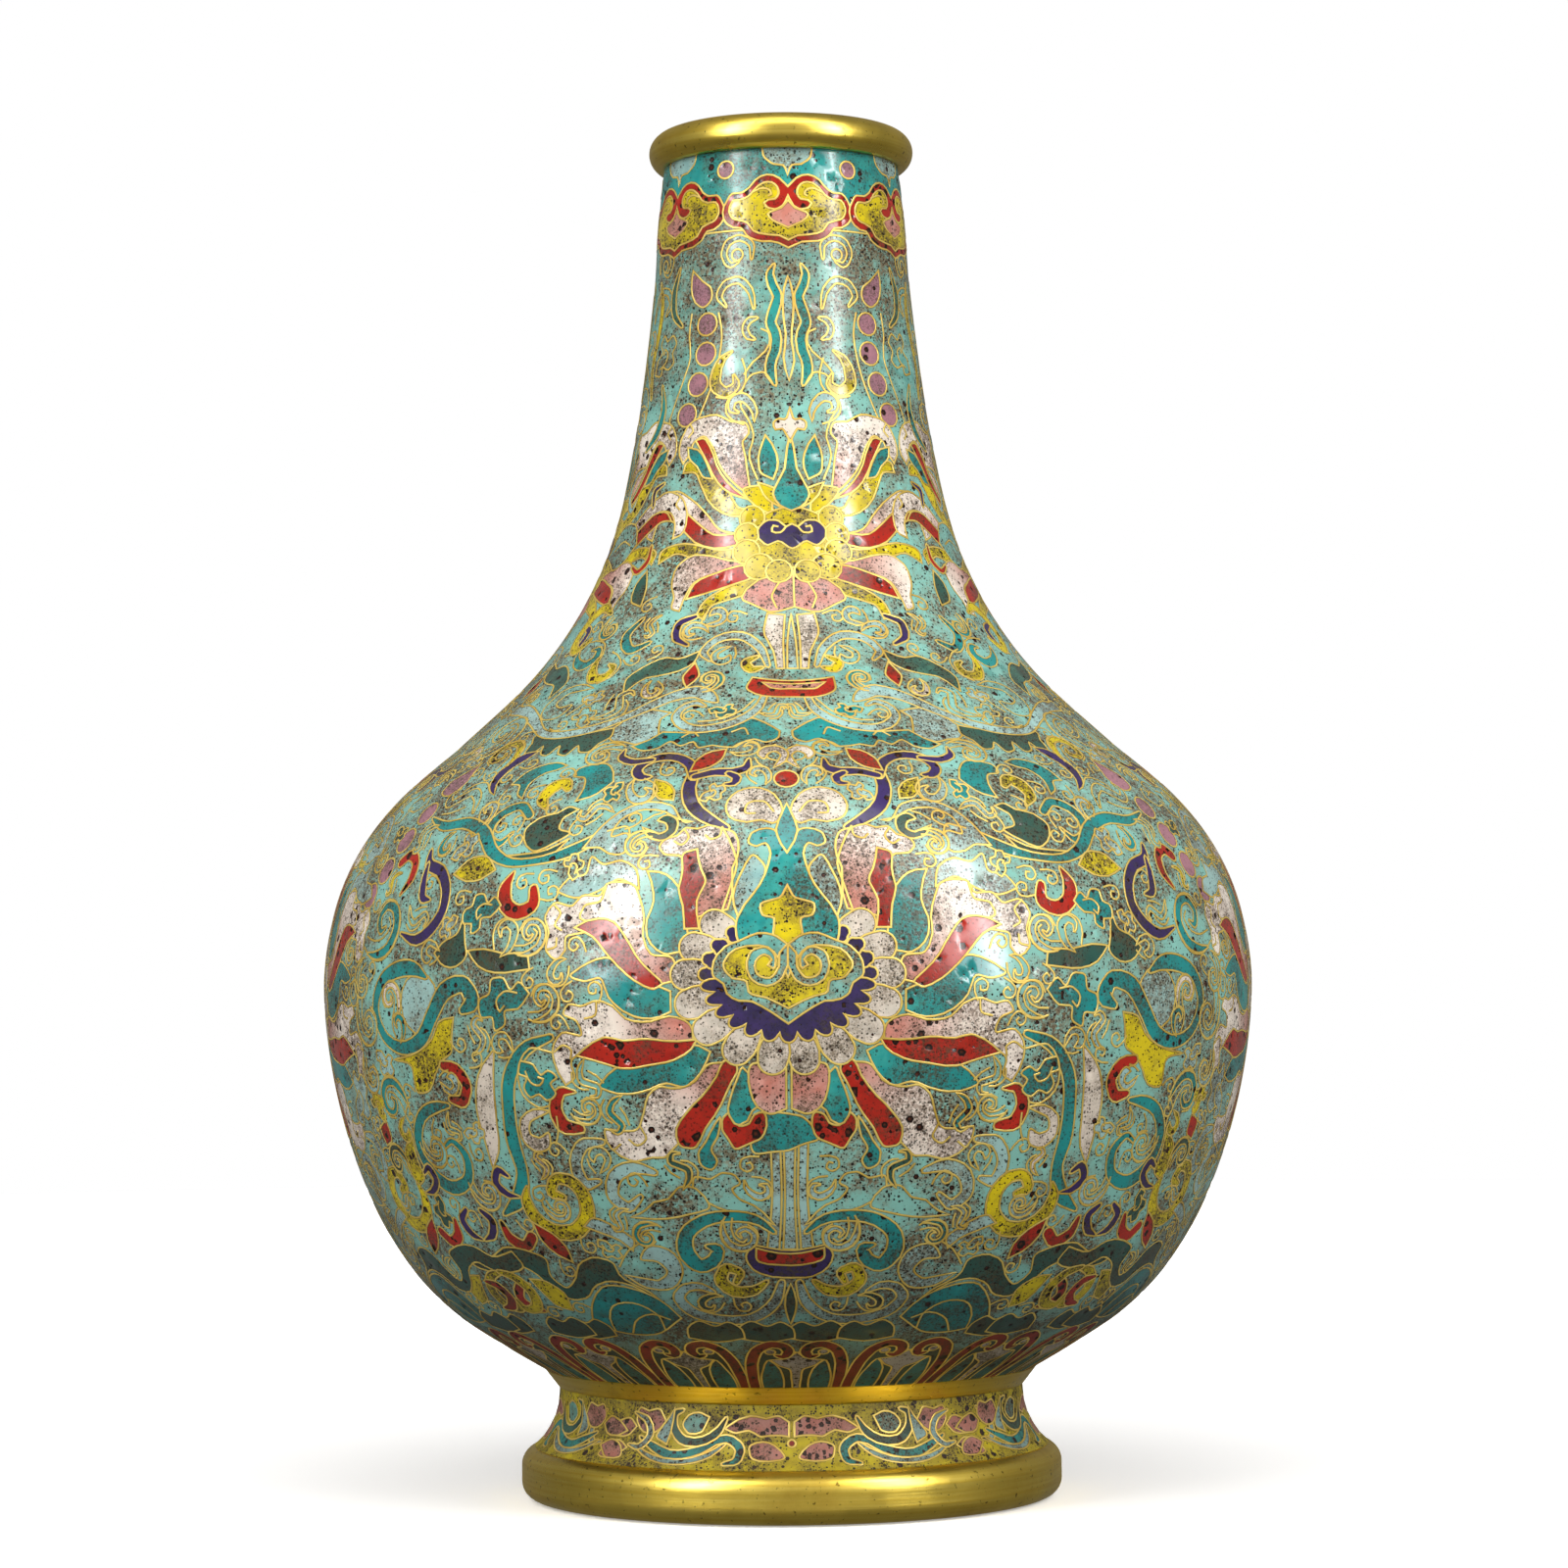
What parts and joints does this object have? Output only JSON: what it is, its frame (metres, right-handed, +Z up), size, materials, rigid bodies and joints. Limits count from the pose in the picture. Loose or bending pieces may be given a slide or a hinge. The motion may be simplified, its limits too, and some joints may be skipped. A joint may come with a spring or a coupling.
{
  "type": "cloisonne vase",
  "caption": "Bottle-shaped cloisonne vase: round belly, tall neck and flared foot, lotus scroll enamel in gilt wire on copper, with gilt rings at mouth, waist and foot",
  "frame": {"origin": "middle of the underside of the foot ring, on the surface the vase stands on", "axes": "+Z up along the vase's axis; the front of the pattern faces -Y; +X to the viewer's right"},
  "size_m": [0.17, 0.17, 0.251],
  "materials": {
    "gilt_bronze": "fire-gilt cast bronze, polished, with brushed streaks and brown specks of wear",
    "gilt_copper": "gilt sheet, satin, lightly worn",
    "gilt_wire": "gilt cloison wire, ground flush and polished",
    "copper_sheet": "hammered copper, hidden under the enamel",
    "counter_enamel": "plain glossy counter-enamel",
    "turquoise_enamel": "polished enamel with fine black pits and grey-brown mottling",
    "teal_enamel": "polished enamel, pitted",
    "green_enamel": "polished dark green enamel, pitted",
    "pale_blue_enamel": "polished pale blue enamel, clouded",
    "white_enamel": "polished white enamel, speckled",
    "pink_enamel": "polished pink enamel shading to white",
    "red_enamel": "polished red enamel with open pits",
    "yellow_enamel": "polished yellow enamel, speckled",
    "cobalt_enamel": "polished cobalt violet enamel, pitted",
    "lavender_enamel": "polished lavender enamel"
  },
  "bodies": {
    "root": {"mouth_rim": "gilt_bronze", "waist_collar": "gilt_bronze", "foot_rim": "gilt_bronze", "base_plate": "gilt_copper", "neck_tube": "copper_sheet", "upper_body": "copper_sheet", "lower_body": "copper_sheet", "foot_skirt": "copper_sheet", "neck_lining": "counter_enamel", "body_lining": "counter_enamel", "collar_enamel": "turquoise_enamel", "neck_enamel": "turquoise_enamel", "shoulder_enamel": "turquoise_enamel", "belly_enamel": "turquoise_enamel", "lappet_enamel": "turquoise_enamel", "foot_enamel": "yellow_enamel", "ruyi_inlays": "red_enamel", "collar_beads": "lavender_enamel", "bead_strings": "pink_enamel", "neck_lotus_petals": "pink_enamel", "neck_lotus_hearts": "cobalt_enamel", "belly_lotus_petals": "red_enamel", "belly_lotus_hearts": "yellow_enamel", "belly_lotus_wires": "gilt_wire", "tie_bands": "red_enamel", "lappet_inlays": "red_enamel", "foot_inlays": "pink_enamel"}
  },
  "joints": []
}
